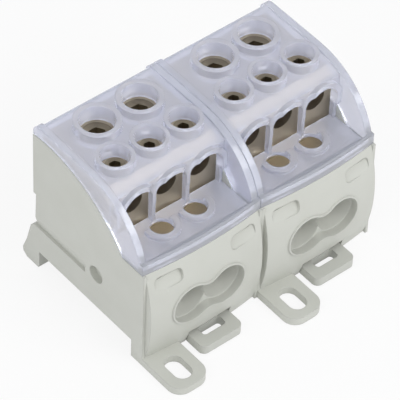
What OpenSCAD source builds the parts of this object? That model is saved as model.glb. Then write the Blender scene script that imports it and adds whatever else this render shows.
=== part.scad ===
// Two-pole power distribution block for a 35 mm rail or a mounting plate. Sizes in mm.
// +X runs across the poles, -Y is the wire side in front, +Z is up. The origin lies on the mounting
// plane, under the middle of the pair.

/* [Module] */
// Width of one pole, which is also the spacing of the two poles
module_w = 35.7; // [34:0.1:40]
// Depth of the housing from its front strips to its back face
body_d = 42; // [41:0.5:46]
// Spacing of the wire entries in the front rows
pitch = 10.2; // [9.8:0.1:10.4]
// Spacing of the two feed entries at the back
feed_pitch = 12.7; // [12.2:0.1:14]

/* [Housing] */
// Height of the front shelf that carries the cover
shelf_z = 30.5; // [30:0.1:32]
// Height of the side walls at the back
back_z = 44.3; // [42:0.1:46]
// Radius of the arched top edge of the side walls
arch_r = 35.5; // [34:0.5:40]
// Distance from the front strips to the middle of the arched edge
arch_y = 36.8; // [35:0.1:38]
// Thickness of the side walls
wall = 1.9; // [1.2:0.1:2.4]
// Thickness of the floor over the rail
floor_t = 2; // [1.5:0.1:3]
// Width of the flat strip down each side of the front
strip_w = 0.8; // [0.5:0.1:2]
// How far the moulded front stands out at its fullest
bulge = 3; // [2:0.1:4]
// Radius of the moulded front in side view
bulge_side_r = 46; // [40:1:70]
// Radius of the moulded front in top view
bulge_top_r = 133; // [110:1:200]
// Height of the fullest line of the front
bulge_z = 15.5; // [12:0.5:18]

/* [Rail and legs] */
// Width of the rail
rail_w = 35; // [35:0.5:36]
// Play of the rail between the legs
rail_play = 0.7; // [0.2:0.1:1]
// Depth of the recess that takes the rail
leg_h = 5.6; // [5:0.1:7]
// Distance from the front strips to the front edge of the recess
rail_y = 4.2; // [3.8:0.1:5]
// Height where the back face steps in
step_z = 24.9; // [20:0.1:28]
// Radius of the socket that joins the next pole
socket_r = 2.4; // [1.5:0.1:3]
// Depth of the socket
socket_d = 1.7; // [0.8:0.1:1.8]
// Distance from the front strips to the socket
socket_y = 17.8; // [10:0.1:30]
// Height of the socket above the recess
socket_z = 11; // [4:0.1:18]
// Distance from the front strips to the grip groove
groove_y = 22; // [18:0.1:36]
// Height of the grip groove above the recess
groove_z = 8.35; // [3:0.05:14]
// Height of the grip groove itself
groove_h = 3; // [1:0.1:4]
// Depth of the grip groove
groove_d = 0.8; // [0.3:0.1:1.2]
// Width of the claw under the back edge of the rail
claw_w = 24; // [12:1:30]

/* [Screw tabs] */
// Width of a screw tab
tab_w = 10.5; // [9:0.1:12]
// Length of a screw tab beyond the housing
tab_l = 13.4; // [12:0.1:18]
// Thickness of a screw tab
tab_t = 2.2; // [1.8:0.1:4]
// Corner radius of a screw tab
tab_round = 3.7; // [2:0.1:4.4]
// Width of the screw slot
slot_w = 4.8; // [4:0.1:5.4]
// Length of the screw slot
slot_l = 7.9; // [6:0.1:9]
// Distance from the tip of the tab to the slot
slot_edge = 2.4; // [2:0.1:3]

/* [Rail foot] */
// Width of the sliding foot
foot_w = 12.6; // [10:0.1:13]
// Offset of the foot from the middle of the pole
foot_x = 1.7; // [0:0.1:2]
// How far the foot stands out in front
foot_out = 6.7; // [6:0.1:9]
// Thickness of the foot
foot_t = 2.6; // [2:0.1:3]
// Gap between the foot and the mounting plane
foot_lift = 0.2; // [0.1:0.05:0.5]
// Corner radius of the foot
foot_round = 1.7; // [1:0.1:3]
// Width of the tool slot in the foot
foot_slot_w = 6.7; // [5:0.1:8]
// Depth of the tool slot in the foot
foot_slot_d = 2.9; // [2:0.1:3.4]
// Reach of the nose under the rail
foot_nose = 1.6; // [1:0.1:2]
// Travel that frees the rail
foot_travel = 2.4; // [2:0.1:2.6]
// Gap between the foot and its channel
foot_gap = 0.2; // [0.1:0.05:0.4]

/* [Front wire entries] */
// Radius of the mouth of a lower entry
funnel_r = 5.5; // [5:0.1:5.6]
// Half height of the neck between the two mouths
neck_h = 4; // [3.4:0.1:4.4]
// Height of the lower entries
tap_z = 15.8; // [15:0.1:17]
// Width of the raised lip round the entries
lip_w = 0.5; // [0.3:0.1:0.9]
// Distance from the pole's middle to a latch pocket
pocket_x = 11.2; // [10:0.1:12]
// Width of a latch pocket
pocket_w = 7.8; // [6:0.1:9]
// Height of a latch pocket
pocket_h = 3.9; // [3:0.1:5]
// Height of the lower edge of a latch pocket
pocket_z = 24.6; // [23.6:0.1:25]

/* [Terminal] */
// Radius of the lower wire bores, for 25 square mm
tap_bore_r = 3.85; // [3:0.05:4.2]
// Radius of the upper wire bores, for 16 square mm
branch_bore_r = 3.2; // [2.6:0.05:3.6]
// Radius of the feed wire bores, for 35 square mm
feed_bore_r = 4.5; // [4:0.05:4.8]
// Height of the upper wire bores
branch_z = 39; // [38.6:0.1:39.2]
// Height of the feed wire bores
feed_z = 33; // [32:0.1:34]
// Height of the front step of the terminal
tier_z = 26.5; // [26:0.1:28]
// Height of the terminal
terminal_z = 45; // [44:0.1:45.2]
// Gap between the terminal and the housing
terminal_gap = 0.3; // [0.2:0.05:0.5]
// Gap between the terminal and the pillars of the cover
terminal_setback = 0.7; // [0.4:0.1:1]
// Thickness of the terminal behind the upper bores
terminal_t = 12.4; // [11:0.1:13]

/* [Screws] */
// Distance from the front strips to the lower screws
tap_y = 9.3; // [9:0.1:9.6]
// Distance from the front strips to the upper screws
branch_y = 20.7; // [20:0.1:21.4]
// Distance from the front strips to the feed screws
feed_y = 32.3; // [32:0.1:33]
// Radius of the lower screws
tap_screw_r = 2.75; // [2:0.05:2.9]
// Radius of the upper screws
branch_screw_r = 2.5; // [2.2:0.05:2.9]
// Radius of the feed screws
feed_screw_r = 4; // [3:0.05:4.2]
// Running gap between a screw and its hole
screw_gap = 0.05; // [0.02:0.01:0.1]
// Length of the lower screws
tap_screw_l = 5.6; // [5:0.1:6]
// Length of the upper screws
branch_screw_l = 4.2; // [3.6:0.1:4.4]
// Length of the feed screws
feed_screw_l = 7; // [6:0.1:8]
// Share of a screw's radius that the hexagon socket takes
socket_share = 0.6; // [0.4:0.05:0.7]

/* [Cover] */
// Gap between the terminal and the roof
roof_room = 1.1; // [0.9:0.1:1.5]
// Radius of the cover in side view
roof_r = 20.2; // [19.6:0.1:21]
// How far the side rails stand above the roof
rail_proud = 0.5; // [0.3:0.1:1]
// Thickness of the roof
roof_t = 1.5; // [1:0.1:1.6]
// Thickness of the cover's side walls
cover_wall = 1.8; // [1.2:0.1:2.2]
// Gap between the cover and the side of its pole
cover_side_gap = 0.1; // [0.05:0.05:0.3]
// Gap between the cover and the arched edge of the housing
cover_gap = 0.3; // [0.2:0.05:0.5]
// Gap between the cover and the inside of the side walls
side_play = 0.2; // [0.1:0.05:0.3]
// Radius of the cover's upper back edge
cover_round = 2.5; // [1.5:0.1:3]
// Thickness of the lower deck
deck_t = 1.1; // [0.8:0.1:1.6]
// Height of the front lip of the cover above the shelf
lip_h = 3.1; // [2:0.1:4]
// Thickness of the front lip
lip_t = 1; // [0.8:0.1:1.5]
// Distance from the front strips to the face of the hoods
hood_y = 11.2; // [10.8:0.1:11.6]
// How far the hoods stand out of the front wall
hood_l = 1.2; // [0.8:0.1:1.6]
// Inner radius of a hood
hood_r = 4.6; // [4.2:0.1:4.7]
// Thickness of a hood
hood_t = 1.5; // [1:0.1:1.6]
// Height of the middle of the hoods
hood_z = 39.8; // [39:0.1:40]
// Thickness of the cover's front wall
front_t = 1.5; // [1:0.1:2]
// Height of the two upper rows of wells above the roof
well_h = 2; // [1:0.1:3]
// Height of the lower wells above the deck
tap_well_h = 1; // [0.5:0.1:2]
// Wall of the wells
well_t = 1.1; // [0.8:0.1:1.2]
// Inner radius of the upper wells
branch_well_r = 3.7; // [3.5:0.05:3.9]
// Inner radius of the feed wells
feed_well_r = 4.5; // [4.3:0.05:4.8]
// Inner radius of the lower wells
tap_well_r = 3; // [2.95:0.05:3.6]
// Wall of the lower wells
tap_well_t = 1.6; // [1:0.1:1.8]

/* [Hidden] */
$fn = 96;
eps = 0.01;
rail_end = rail_y + rail_w + rail_play;
half_w = module_w / 2;
mid_y = body_d / 2;
top_all = 2 * back_z;
arch_z = back_z - sqrt(arch_r * arch_r - (body_d - arch_y) * (body_d - arch_y));
arch_front = arch_y - sqrt(arch_r * arch_r - (shelf_z - arch_z) * (shelf_z - arch_z));
roof_z = terminal_z + roof_room + roof_t + rail_proud;
roof_cy = roof_r + 1;
roof_cz = roof_z - roof_r - 0.1;
cover_half = half_w - cover_side_gap;
room_half = half_w - wall;
room_y = 3.4;
mouth_d = 0.8;
room_end = body_d - 2;
front_wall_y = hood_y + hood_l;
terminal_y = front_wall_y + front_t + terminal_setback;
terminal_half = room_half - terminal_gap;
terminal_back = room_end - terminal_gap;
deck_z = shelf_z + deck_t;
well_top = roof_z + well_h - rail_proud;
tab_x = half_w - tab_w / 2;
slot_y = -tab_l + slot_edge + slot_l / 2;
foot_top = foot_lift + foot_t;
foot_back = rail_y + 0.4 + foot_nose;
tongue_y = 3;
tongue_t = 0.9;
tongue_w = 0.8;
latch_w = 5.6;
latch_y = 0.8;
latch_t = 1;
latch_h = 2.9;
screw_top = 1.5;

// ---- helpers -------------------------------------------------------------------------------

// A block between two corners.
module block(a, b) {
  translate(a) cube(b - a);
}

// Extrudes a side view, drawn as (y, z), to a width centred on x = 0.
module across(w) {
  rotate([90, 0, 90]) linear_extrude(w, center = true) children();
}

// Extrudes a front view, drawn as (x, z), from y0 to y1.
module from_front(y0, y1) {
  translate([0, y1, 0]) rotate([90, 0, 0]) linear_extrude(y1 - y0) children();
}

// Rounded rectangle in plan.
module rounded(w, d, r) {
  for (x = [-1, 1]) translate([x * (w / 2 - r), 0]) for (y = [-1, 1]) translate([0, y * (d / 2 - r)]) circle(r);
  square([w - 2 * r, d], center = true);
  square([w, d - 2 * r], center = true);
}

// Places its children in each pole: -1 is the left one, 1 the right one.
module in_pole(side) {
  translate([side * half_w, -mid_y, 0]) children();
}

// ---- housing -------------------------------------------------------------------------------

// The solid behind the doubly curved front: one arc in side view, swept round a long radius.
module front_form(grow, z0, z1) {
  intersection() {
    translate([0, bulge_top_r - bulge, 0]) rotate_extrude($fn = 240) intersection() {
      union() {
        translate([bulge_top_r - bulge_side_r, bulge_z]) circle(bulge_side_r + grow, $fn = 240);
        translate([0, bulge_z - bulge_side_r]) square([bulge_top_r - bulge_side_r, 2 * bulge_side_r]);
      }
      translate([0, z0]) square([bulge_top_r + grow, z1 - z0]);
    }
    block([-half_w + strip_w, -2 * bulge, z0], [half_w - strip_w, rail_y, z1]);
  }
}

// Side view of the housing with its arched top, rail recess and hook.
module housing_side() {
  difference() {
    union() {
      translate([bulge / 2, 0]) square([rail_y, shelf_z]);
      translate([rail_y, leg_h]) square([body_d - 1 - rail_y, step_z - leg_h]);
      translate([rail_y, leg_h]) square([arch_front, shelf_z - leg_h]);
      intersection() {
        translate([arch_y, arch_z]) circle(arch_r, $fn = 180);
        translate([rail_y, step_z - eps]) square([body_d - rail_y, top_all]);
      }
      polygon([
        [rail_end - 6, leg_h], [rail_end - 6, step_z], [body_d - 1, step_z], [body_d - 0.6, leg_h + 9],
        [body_d + 1.2, leg_h + 7.1], [body_d + 2.9, leg_h + 0.8], [body_d + 4.5, 2.4], [body_d + 4.3, 1],
        [body_d + 2.9, 0], [rail_end + 0.4, 0], [rail_end, 0.7], [rail_end, leg_h]
      ]);
    }
    translate([rail_y, -eps]) square([rail_end - rail_y, leg_h + eps]);
  }
}

// Outline of the two joined entry mouths, with a smooth neck between them.
module mouths(r, neck, spacing) {
  half = spacing / 2;
  neck_r = (half * half + neck * neck - r * r) / (2 * (r - neck));
  rise = neck + neck_r;
  for (s = [-1, 1]) translate([s * half, 0]) circle(r);
  difference() {
    polygon([[-half, 0], [0, rise], [half, 0], [0, -rise]]);
    for (s = [-1, 1]) translate([0, s * rise]) circle(neck_r);
  }
}

// A slotted tab that takes a mounting screw, pointing to the front.
module screw_tab() {
  difference() {
    translate([0, (rail_y - tab_l) / 2, 0]) linear_extrude(tab_t)
      rounded(tab_w, rail_y + tab_l, tab_round);
    translate([0, slot_y, -1]) linear_extrude(tab_t + 2) rounded(slot_w, slot_l, slot_w / 2 - eps);
  }
}

// A latch pocket: shallow below, deepest at its upper edge, where the slit for the latch is.
module latch_pocket() {
  top = pocket_z + pocket_h;
  intersection() {
    across(pocket_w) polygon([
      [-2 * bulge, pocket_z], [-0.5 * bulge, pocket_z], [0.3, top - 0.6], [0.3, top], [-2 * bulge, top]
    ]);
    translate([0, 0, pocket_z + pocket_h / 2]) from_front(-2 * bulge, rail_y)
      rounded(pocket_w, pocket_h, 1.4);
  }
  block([-latch_w / 2, -bulge, top - 1], [latch_w / 2, latch_y + 0.5, top - 0.3]);
  block([-latch_w / 2 - foot_gap, latch_y - foot_gap, shelf_z - latch_h - foot_gap],
        [latch_w / 2 + foot_gap, latch_y + latch_t + foot_gap, shelf_z + 1]);
}

module housing() {
  difference() {
    union() {
      across(module_w) housing_side();
      for (s = [-1, 1]) block([s > 0 ? half_w - strip_w : -half_w, 0, 0],
                              [s > 0 ? half_w : strip_w - half_w, rail_y, shelf_z]);
      front_form(0, 0, shelf_z);
      intersection() {
        front_form(0.4, tap_z - 2 * funnel_r, tap_z + 2 * funnel_r);
        translate([0, 0, tap_z]) from_front(-2 * bulge, rail_y)
          mouths(funnel_r + lip_w, neck_h + lip_w, pitch);
      }
      translate([-tab_x, 0, 0]) screw_tab();
      translate([tab_x, body_d, 0]) rotate([0, 0, 180]) screw_tab();
      block([-claw_w / 2, rail_end - 1.2, 0.8], [claw_w / 2, rail_end + eps, leg_h - 1.3]);
    }
    // room for the terminal
    block([-room_half, room_y, leg_h + floor_t], [room_half, room_end, top_all]);
    // lower entries
    for (s = [-1, 1]) translate([s * pitch / 2, -mouth_d, tap_z]) rotate([-90, 0, 0])
      cylinder(h = room_y + mouth_d + eps, r1 = funnel_r - 0.2, r2 = tap_bore_r + 0.2);
    translate([0, 0, tap_z]) from_front(-2 * bulge, -mouth_d + eps) mouths(funnel_r, neck_h, pitch);
    // feed entries in the back wall
    for (s = [-1, 1]) translate([s * feed_pitch / 2, room_end - eps, feed_z]) rotate([-90, 0, 0])
      cylinder(h = body_d - room_end + 2 * eps, r1 = feed_bore_r + 0.3, r2 = feed_bore_r + 1.4);
    for (s = [-1, 1]) translate([s * pocket_x, 0, 0]) latch_pocket();
    // channel and guide grooves of the rail foot
    block([foot_x - foot_w / 2 - foot_gap, -2 * bulge, -1],
          [foot_x + foot_w / 2 + foot_gap, rail_y + eps, foot_top + 1.6]);
    block([foot_x - foot_w / 2 - tongue_w - foot_gap, tongue_y - foot_travel - foot_gap, 0.9],
          [foot_x + foot_w / 2 + tongue_w + foot_gap, rail_y + eps, 1.1 + tongue_t + foot_gap]);
    // socket in the left face that joins the next pole, and the grip groove above the back ledge
    translate([-half_w - 1, socket_y, leg_h + socket_z]) rotate([0, 90, 0])
      cylinder(h = 1 + socket_d, r = socket_r);
    translate([-half_w, 0, leg_h + groove_z]) from_front(groove_y, body_d + 1)
      polygon([[-eps, 0], [groove_d, 0], [-eps, groove_h]]);
  }
}

// ---- cover ---------------------------------------------------------------------------------

// Side view of the space under the cover's outer face, set in by a distance.
module cover_view(inset) {
  r = cover_round - min(inset, cover_round - 0.5);
  translate([roof_cy, roof_cz]) circle(roof_r - inset, $fn = 180);
  difference() {
    translate([roof_cy, shelf_z]) square([body_d - inset - roof_cy, roof_z - inset - shelf_z]);
    translate([body_d - inset - r, roof_z - inset - r]) square(r + 1);
  }
  translate([body_d - inset - r, roof_z - inset - r]) circle(r);
}

module cover_shell(inset) {
  intersection() {
    cover_view(inset);
    translate([0, shelf_z]) square([body_d, top_all]);
  }
}

module hood_opening() {
  translate([0, hood_z]) circle(hood_r);
  translate([-hood_r, deck_z]) square([2 * hood_r, hood_z - deck_z]);
}

module cover() {
  inner = cover_half - cover_wall;
  difference() {
    union() {
      // side walls, with the raised rails at the top
      for (s = [-1, 1]) translate([s * (cover_half - cover_wall / 2), 0, 0]) across(cover_wall)
        difference() {
          cover_shell(0);
          translate([arch_y, arch_z]) circle(arch_r + cover_gap, $fn = 180);
        }
      // roof and back wall
      across(2 * inner + 2 * eps) difference() {
        cover_shell(rail_proud);
        intersection() {
          cover_shell(rail_proud + roof_t);
          translate([front_wall_y + front_t, 0]) square([body_d, top_all]);
        }
        translate([-1, 0]) square([front_wall_y + 1, top_all]);
        translate([front_wall_y + front_t, 0]) square([body_d, back_z + cover_gap]);
      }
      // hoods
      for (k = [-1, 0, 1]) intersection() {
        translate([k * pitch, 0, hood_z]) from_front(hood_y, front_wall_y + eps) difference() {
          circle(hood_r + hood_t);
          circle(hood_r);
        }
        block([-inner, 0, hood_z - 2.7], [inner, body_d, top_all]);
      }
      // lower deck and front lip
      intersection() {
        front_form_cover(0, shelf_z, shelf_z + lip_h);
        difference() {
          block([-cover_half, -bulge, shelf_z], [cover_half, front_wall_y + front_t, shelf_z + lip_h]);
          intersection() {
            front_form_cover(lip_t, deck_z, top_all);
            block([-inner, -bulge, deck_z], [inner, front_wall_y + front_t, top_all]);
          }
        }
      }
      // wells
      for (k = [-1, 0, 1]) well(k * pitch, branch_y, terminal_z + 0.3, well_top, branch_well_r + well_t);
      for (k = [-1, 1]) {
        well(k * feed_pitch / 2, feed_y, terminal_z + 0.3, well_top + 0.2, feed_well_r + well_t + 0.3);
        well(k * pitch / 2, tap_y, shelf_z, deck_z + tap_well_h, tap_well_r + tap_well_t);
      }
      // latches behind the front wall of the housing
      for (s = [-1, 1]) block([s * pocket_x - latch_w / 2, latch_y, shelf_z - latch_h],
                              [s * pocket_x + latch_w / 2, latch_y + latch_t, shelf_z + eps]);
    }
    for (k = [-1, 0, 1]) {
      well(k * pitch, branch_y, 0, top_all, branch_well_r);
      translate([k * pitch, 0, 0]) from_front(hood_y - 1, front_wall_y + front_t + eps) hood_opening();
    }
    for (k = [-1, 1]) {
      well(k * feed_pitch / 2, feed_y, 0, top_all, feed_well_r);
      well(k * pitch / 2, tap_y, 0, top_all, tap_well_r);
      // room for the side walls of the housing
      translate([k * (room_half + half_w) / 2, 0, 0]) across(wall + 2 * side_play)
        translate([arch_y, arch_z]) circle(arch_r + cover_gap, $fn = 180);
    }
  }
}

// A round well from z0 to z1.
module well(x, y, z0, z1, r) {
  translate([x, y, z0]) cylinder(h = z1 - z0, r = r);
}

// The curved front of the cover in plan, which follows the top of the housing's front.
module front_form_cover(inset, z0, z1) {
  r = bulge_top_r - bulge_side_r + sqrt(bulge_side_r * bulge_side_r - (shelf_z - bulge_z) * (shelf_z - bulge_z));
  translate([0, bulge_top_r - bulge, z0]) cylinder(h = z1 - z0, r = r - inset, $fn = 360);
}

// ---- terminal, screws and foot -------------------------------------------------------------

module terminal() {
  mid = terminal_y + terminal_t;
  z0 = leg_h + floor_t;
  difference() {
    across(2 * terminal_half) polygon([
      [room_y + terminal_gap, z0], [room_y + terminal_gap, tier_z], [terminal_y, tier_z],
      [terminal_y, terminal_z - 2.4], [terminal_y + 2.4, terminal_z], [terminal_back, terminal_z],
      [terminal_back, feed_z - feed_bore_r - 3], [mid, feed_z - feed_bore_r - 6], [mid, z0]
    ]);
    for (k = [-1, 1]) {
      translate([k * pitch / 2, 0, tap_z]) rotate([-90, 0, 0]) cylinder(h = terminal_y, r = tap_bore_r);
      translate([k * pitch / 2, tap_y, tap_z]) cylinder(h = top_all, r = tap_screw_r + screw_gap);
      translate([k * feed_pitch / 2, mid - 1, feed_z]) rotate([-90, 0, 0])
        cylinder(h = body_d, r = feed_bore_r);
      translate([k * feed_pitch / 2, feed_y, feed_z]) cylinder(h = top_all, r = feed_screw_r + screw_gap);
    }
    for (k = [-1, 0, 1]) {
      translate([k * pitch, terminal_y - 1, branch_z]) rotate([-90, 0, 0])
        cylinder(h = terminal_t - (k == 0 ? 0 : 1), r = branch_bore_r);
      translate([k * pitch, branch_y, branch_z]) cylinder(h = top_all, r = branch_screw_r + screw_gap);
    }
  }
}

// A clamp screw with a hexagon socket, its top at z.
module clamp_screw(x, y, z, r, l) {
  translate([x, y, z - l]) difference() {
    cylinder(h = l, r = r);
    translate([0, 0, l - 2.5]) cylinder(h = 3, r = r * socket_share, $fn = 6);
  }
}

module feed_screw(k) {
  clamp_screw(k * feed_pitch / 2, feed_y, terminal_z, feed_screw_r, feed_screw_l);
}

module branch_screw(k) {
  clamp_screw(k * pitch, branch_y, terminal_z + screw_top, branch_screw_r, branch_screw_l);
}

module tap_screw(k) {
  clamp_screw(k * pitch / 2, tap_y, tier_z - 0.3, tap_screw_r, tap_screw_l);
}

module rail_foot() {
  translate([foot_x, 0, foot_lift]) {
    difference() {
      union() {
        translate([0, (foot_back - foot_out) / 2, 0]) linear_extrude(foot_t)
          rounded(foot_w, foot_back + foot_out, foot_round);
        block([-foot_w / 2, foot_round, 0], [foot_w / 2, rail_y + 0.4, foot_t]);
      }
      translate([0, foot_slot_d / 2 - foot_slot_d - 0.7, -1]) linear_extrude(foot_t + 2)
        rounded(foot_slot_w, foot_slot_d, 0.8);
    }
    // nose under the rail
    across(foot_w - 2 * foot_round) polygon([
      [rail_y - 1.2, foot_t], [foot_back, foot_t], [foot_back, foot_t + 0.3], [rail_y + 0.4, foot_t + 1.2],
      [rail_y - 1.2, foot_t + 1.2]
    ]);
    for (s = [-1, 1]) block([s > 0 ? foot_w / 2 - eps : -foot_w / 2 - tongue_w, tongue_y, 1.1 - foot_lift],
                            [s > 0 ? foot_w / 2 + tongue_w : eps - foot_w / 2, rail_y, 1.1 + tongue_t - foot_lift]);
  }
}

// ---- named pieces --------------------------------------------------------------------------

module housing_left() color("gainsboro") in_pole(-1) housing();
module housing_right() color("gainsboro") in_pole(1) housing();
module cover_left() color("lightblue") in_pole(-1) cover();
module cover_right() color("lightblue") in_pole(1) cover();
module terminal_left() color("silver") in_pole(-1) terminal();
module terminal_right() color("silver") in_pole(1) terminal();
module rail_foot_left() color("lightgray") in_pole(-1) rail_foot();
module rail_foot_right() color("lightgray") in_pole(1) rail_foot();
module feed_screw_1() color("goldenrod") in_pole(-1) feed_screw(-1);
module feed_screw_2() color("goldenrod") in_pole(-1) feed_screw(1);
module feed_screw_3() color("goldenrod") in_pole(1) feed_screw(-1);
module feed_screw_4() color("goldenrod") in_pole(1) feed_screw(1);
module branch_screw_1() color("peru") in_pole(-1) branch_screw(-1);
module branch_screw_2() color("peru") in_pole(-1) branch_screw(0);
module branch_screw_3() color("peru") in_pole(-1) branch_screw(1);
module branch_screw_4() color("peru") in_pole(1) branch_screw(-1);
module branch_screw_5() color("peru") in_pole(1) branch_screw(0);
module branch_screw_6() color("peru") in_pole(1) branch_screw(1);
module tap_screw_1() color("tan") in_pole(-1) tap_screw(-1);
module tap_screw_2() color("tan") in_pole(-1) tap_screw(1);
module tap_screw_3() color("tan") in_pole(1) tap_screw(-1);
module tap_screw_4() color("tan") in_pole(1) tap_screw(1);

housing_left();
housing_right();
cover_left();
cover_right();
terminal_left();
terminal_right();
rail_foot_left();
rail_foot_right();
feed_screw_1();
feed_screw_2();
feed_screw_3();
feed_screw_4();
branch_screw_1();
branch_screw_2();
branch_screw_3();
branch_screw_4();
branch_screw_5();
branch_screw_6();
tap_screw_1();
tap_screw_2();
tap_screw_3();
tap_screw_4();
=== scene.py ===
import math

import bpy
from mathutils import Matrix, Vector


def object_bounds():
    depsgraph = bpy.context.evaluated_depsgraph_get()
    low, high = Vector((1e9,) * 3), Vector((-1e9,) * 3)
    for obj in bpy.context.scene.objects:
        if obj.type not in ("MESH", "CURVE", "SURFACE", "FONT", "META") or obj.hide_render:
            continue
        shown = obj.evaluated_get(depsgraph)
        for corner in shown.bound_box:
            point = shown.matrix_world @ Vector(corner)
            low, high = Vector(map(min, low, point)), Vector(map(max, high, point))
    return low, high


# Power distribution block: two poles with clear stepped covers, on their screw tabs.
# Lengths are in metres here, and in millimetres where a name ends in Mm.

mm = 0.001

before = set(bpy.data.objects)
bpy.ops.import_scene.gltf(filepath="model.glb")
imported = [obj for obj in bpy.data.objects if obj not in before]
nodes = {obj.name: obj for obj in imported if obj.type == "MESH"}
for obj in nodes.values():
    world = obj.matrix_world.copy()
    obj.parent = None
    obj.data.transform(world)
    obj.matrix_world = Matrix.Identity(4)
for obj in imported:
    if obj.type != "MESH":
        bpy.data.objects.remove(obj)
cadLow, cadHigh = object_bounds()
print("frame loaded:", len(nodes), "pieces")


def srgb(hexText):
    # each channel: c/12.92 below 0.04045, else ((c + 0.055)/1.055)^2.4
    parts = [int(hexText[i : i + 2], 16) / 255 for i in (1, 3, 5)]
    return [c / 12.92 if c <= 0.04045 else ((c + 0.055) / 1.055) ** 2.4 for c in parts] + [1.0]


def addNode(tree, kind, values=None, links=None, **settings):
    # one node: its settings by name, fixed socket values, and links from other nodes' outputs
    node = tree.nodes.new(kind)
    for name, value in settings.items():
        setattr(node, name, value)
    for socket, value in (values or {}).items():
        node.inputs[socket].default_value = value
    for socket, source in (links or {}).items():
        tree.links.new(source, node.inputs[socket])
    return node


def noise(tree, place, sizeMm, detail):
    # soft noise whose patches are about sizeMm wide
    values = {"Scale": 1 / (sizeMm * mm), "Detail": detail}
    return addNode(tree, "ShaderNodeTexNoise", values, {"Vector": place})


def largest(tree, outputs):
    # the largest of several 0 to 1 outputs
    top = outputs[0]
    for other in outputs[1:]:
        top = addNode(tree, "ShaderNodeMath", links={0: top, 1: other}, operation="MAXIMUM").outputs[0]
    return top


def newMaterial(name):
    mat = bpy.data.materials.new(name)
    mat.use_nodes = True
    mat.node_tree.nodes.clear()
    return mat, mat.node_tree


def dress(names, mat):
    # puts one material on every face of these CAD pieces
    for name in names:
        mesh = nodes[name].data
        mesh.materials.clear()
        mesh.materials.append(mat)


# ---------- grey moulded housing ----------
housing = {
    "colour": "#CFD0C9",
    "shade": "#C6C7BF",
    "roughness": 0.5,
    "ior": 1.53,
    "grainMm": 0.35,  # spark-eroded mould grain
    "grainDepthMm": 0.012,
    "flowMm": 9.0,  # slow tone changes of the melt
    "edgeMm": 0.35,  # moulded edges are never sharp
}


def mouldedPolyamide(look, name):
    # Glass-filled polyamide 66, injection moulded in an eroded tool: matte, with a fine even grain
    # that breaks up the highlight, and a very slow change of tone where the melt flowed.
    mat, tree = newMaterial(name)
    place = addNode(tree, "ShaderNodeTexCoord")
    flow = noise(tree, place.outputs["Object"], look["flowMm"], 2.0)
    tone = addNode(
        tree,
        "ShaderNodeMix",
        {6: srgb(look["shade"]), 7: srgb(look["colour"])},
        {0: flow.outputs["Fac"]},
        data_type="RGBA",
    )
    grain = noise(tree, place.outputs["Object"], look["grainMm"], 3.0)
    rough = addNode(
        tree,
        "ShaderNodeMapRange",
        {"To Min": look["roughness"] - 0.06, "To Max": look["roughness"] + 0.06},
        {"Value": grain.outputs["Fac"]},
    )
    edge = addNode(tree, "ShaderNodeBevel", {"Radius": look["edgeMm"] * mm}, samples=6)
    bump = addNode(
        tree,
        "ShaderNodeBump",
        {"Strength": 0.5, "Distance": look["grainDepthMm"] * mm},
        {"Height": grain.outputs["Fac"], "Normal": edge.outputs[0]},
    )
    shader = addNode(
        tree,
        "ShaderNodeBsdfPrincipled",
        {"IOR": look["ior"]},
        {"Base Color": tone.outputs[2], "Roughness": rough.outputs[0], "Normal": bump.outputs[0]},
    )
    addNode(tree, "ShaderNodeOutputMaterial", links={"Surface": shader.outputs[0]})
    return mat


dress(["housing_left", "housing_right"], mouldedPolyamide(housing, "greyPolyamide"))

foot = dict(housing, colour="#C8C9C2", shade="#C0C1BA", roughness=0.46)
dress(["rail_foot_left", "rail_foot_right"], mouldedPolyamide(foot, "footPolyamide"))
print("housings and feet done")

# ---------- clear cover ----------
cover = {
    "tint": "#EFF0F9",
    "lampTint": "#EEF1F8",
    "roughness": 0.05,
    "clearShare": 0.66,  # the rest scatters white, as thick moulded walls do
    "ior": 1.585,
    "waveMm": 6.0,  # slow waviness of the moulded faces
    "waveDepthMm": 0.05,
    "edgeMm": 0.4,
}


def clearPolycarbonate(look, name):
    # Polycarbonate moulded in a polished tool: high gloss, faint cool tint, walls that wave a little
    # where they shrank. Lamps shine through it onto what it covers.
    mat, tree = newMaterial(name)
    place = addNode(tree, "ShaderNodeTexCoord")
    wave = noise(tree, place.outputs["Object"], look["waveMm"], 1.0)
    edge = addNode(tree, "ShaderNodeBevel", {"Radius": look["edgeMm"] * mm}, samples=6)
    bump = addNode(
        tree,
        "ShaderNodeBump",
        {"Strength": 0.6, "Distance": look["waveDepthMm"] * mm},
        {"Height": wave.outputs["Fac"], "Normal": edge.outputs[0]},
    )
    shader = addNode(
        tree,
        "ShaderNodeBsdfPrincipled",
        {
            "Base Color": srgb(look["tint"]),
            "Roughness": look["roughness"],
            "IOR": look["ior"],
            "Transmission Weight": look["clearShare"],
        },
        {"Normal": bump.outputs[0]},
    )
    lampRays = addNode(tree, "ShaderNodeLightPath")
    through = addNode(tree, "ShaderNodeBsdfTransparent", {"Color": srgb(look["lampTint"])})
    both = addNode(
        tree,
        "ShaderNodeMixShader",
        links={0: lampRays.outputs["Is Shadow Ray"], 1: shader.outputs[0], 2: through.outputs[0]},
    )
    addNode(tree, "ShaderNodeOutputMaterial", links={"Surface": both.outputs[0]})
    return mat


dress(["cover_left", "cover_right"], clearPolycarbonate(cover, "clearPolycarbonate"))
print("covers done")

# ---------- tinned terminal and plated screws ----------
terminal = {"colour": "#BDB29C", "roughness": 0.42, "drawMm": 0.25, "lineDepthMm": 0.01}
screws = {"colour": "#938975", "roughness": 0.38, "turnMm": 0.2, "lineDepthMm": 0.01}


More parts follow.
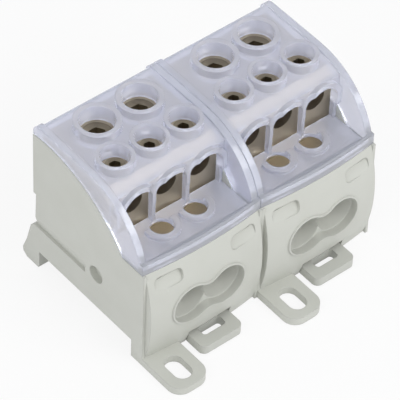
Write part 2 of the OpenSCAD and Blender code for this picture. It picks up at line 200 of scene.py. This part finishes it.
def platedMetal(look, name, lineMm, stretch):
    # Plated metal: soft satin shine, with fine lines from drawing or turning that run one way.
    mat, tree = newMaterial(name)
    place = addNode(tree, "ShaderNodeTexCoord")
    along = addNode(tree, "ShaderNodeMapping", {"Scale": stretch}, {"Vector": place.outputs["Object"]})
    lines = noise(tree, along.outputs[0], lineMm, 2.0)
    rough = addNode(
        tree,
        "ShaderNodeMapRange",
        {"To Min": look["roughness"] - 0.08, "To Max": look["roughness"] + 0.1},
        {"Value": lines.outputs["Fac"]},
    )
    bump = addNode(
        tree,
        "ShaderNodeBump",
        {"Strength": 0.4, "Distance": look["lineDepthMm"] * mm},
        {"Height": lines.outputs["Fac"]},
    )
    shader = addNode(
        tree,
        "ShaderNodeBsdfPrincipled",
        {"Base Color": srgb(look["colour"]), "Metallic": 1.0},
        {"Roughness": rough.outputs[0], "Normal": bump.outputs[0]},
    )
    addNode(tree, "ShaderNodeOutputMaterial", links={"Surface": shader.outputs[0]})
    return mat


drawnAcross = (0.05, 1.0, 1.0)  # lines along X, as drawn
turnedDown = (1.0, 1.0, 0.3)  # lines along the screw
tinned = platedMetal(terminal, "tinnedTerminal", terminal["drawMm"], drawnAcross)
dress(["terminal_left", "terminal_right"], tinned)
screwNames = [n for n in nodes if "screw" in n]
dress(screwNames, platedMetal(screws, "zincScrew", screws["turnMm"], turnedDown))
print("metal done")

# ---------- floor, light and camera ----------
studio = {
    "floorColour": "#F4F4F4",
    "floorReach": 2.5,
    "whiteShare": 0.86,  # how far the floor is plain white to the viewer
    "worldColour": (0.97, 0.985, 1.0, 1),
    "worldStrength": 0.6,
    "keySize": 0.5,
    "keyPower": 2.7,
    "fillSize": 0.6,
    "fillPower": 1.5,
}


def whiteForViewer(tree, litShader, share):
    # camera, mirror and glass rays see mostly plain white, and the rest of the light stays on the lit surface
    path = addNode(tree, "ShaderNodeLightPath")
    rays = ("Is Camera Ray", "Is Glossy Ray", "Is Transmission Ray")
    seen = largest(tree, [path.outputs[k] for k in rays])
    part = addNode(tree, "ShaderNodeMath", {1: share}, {0: seen}, operation="MULTIPLY")
    white = addNode(tree, "ShaderNodeEmission", {"Color": (1, 1, 1, 1), "Strength": 1.0})
    ends = {0: part.outputs[0], 1: litShader, 2: white.outputs[0]}
    return addNode(tree, "ShaderNodeMixShader", links=ends)


floorMat, tree = newMaterial("paleFloor")
paper = addNode(tree, "ShaderNodeBsdfDiffuse", {"Color": srgb(studio["floorColour"])})
mixed = whiteForViewer(tree, paper.outputs[0], studio["whiteShare"])
addNode(tree, "ShaderNodeOutputMaterial", links={"Surface": mixed.outputs[0]})
floorMesh = bpy.data.meshes.new("floor")
reach = studio["floorReach"]
corners = [(x * reach, y * reach, 0) for x, y in ((-1, -1), (1, -1), (1, 1), (-1, 1))]
floorMesh.from_pydata(corners, [], [(0, 1, 2, 3)])
floor = bpy.data.objects.new("floor", floorMesh)
bpy.context.collection.objects.link(floor)
floorMesh.materials.append(floorMat)
floor.location.z = cadLow.z - 0.2 * mm

world = bpy.data.worlds.new("studioWorld")
bpy.context.scene.world = world
world.use_nodes = True
tree = world.node_tree
tree.nodes.clear()
path = addNode(tree, "ShaderNodeLightPath")
seen = largest(tree, [path.outputs[k] for k in ("Is Camera Ray", "Is Transmission Ray")])
sky = {"Color": studio["worldColour"], "Strength": studio["worldStrength"]}
soft = addNode(tree, "ShaderNodeBackground", sky)
plain = addNode(tree, "ShaderNodeBackground", {"Color": (1, 1, 1, 1), "Strength": 1.0})
mixed = addNode(tree, "ShaderNodeMixShader", links={0: seen, 1: soft.outputs[0], 2: plain.outputs[0]})
addNode(tree, "ShaderNodeOutputWorld", links={"Surface": mixed.outputs[0]})


def softBox(name, place, aim, size, power):
    lamp = bpy.data.lights.new(name, "AREA")
    lamp.shape = "SQUARE"
    lamp.size = size
    lamp.energy = power
    box = bpy.data.objects.new(name, lamp)
    bpy.context.collection.objects.link(box)
    box.location = place
    box.rotation_euler = (Vector(aim) - Vector(place)).to_track_quat("-Z", "Y").to_euler()
    return box


middle = (0, 0, 0.025)
softBox("key", (0.22, -0.62, 0.55), middle, studio["keySize"], studio["keyPower"])
softBox("fill", (-0.65, -0.1, 0.5), middle, studio["fillSize"], studio["fillPower"])

cameraSet = {  # a long lens from the front left, well above
    "target": (0.0, 0.001, 0.0276),
    "azimuth": -41.17,
    "elevation": 46.06,
    "roll": 2.45,
    "distance": 0.77409,
    "aside": -0.00065,
    "up": -0.00814,
    "lens": 290.8,
}
az, el, roll = (math.radians(cameraSet[k]) for k in ("azimuth", "elevation", "roll"))
back = Vector((math.sin(az) * math.cos(el), -math.cos(az) * math.cos(el), math.sin(el)))
right = Vector((math.cos(az), math.sin(az), 0))
up = back.cross(right)
rightTurned = math.cos(roll) * right + math.sin(roll) * up
upTurned = -math.sin(roll) * right + math.cos(roll) * up
camData = bpy.data.cameras.new("camera")
camera = bpy.data.objects.new("camera", camData)
bpy.context.collection.objects.link(camera)
camData.lens = cameraSet["lens"]
camData.sensor_width = 36
aside = rightTurned * cameraSet["aside"] + upTurned * cameraSet["up"]
spot = Vector(cameraSet["target"]) + aside + back * cameraSet["distance"]
turn = Matrix((rightTurned, upTurned, back)).transposed().to_4x4()
camera.matrix_world = Matrix.Translation(spot) @ turn
bpy.context.scene.camera = camera
bpy.context.scene.view_settings.view_transform = "Standard"
print("studio done")
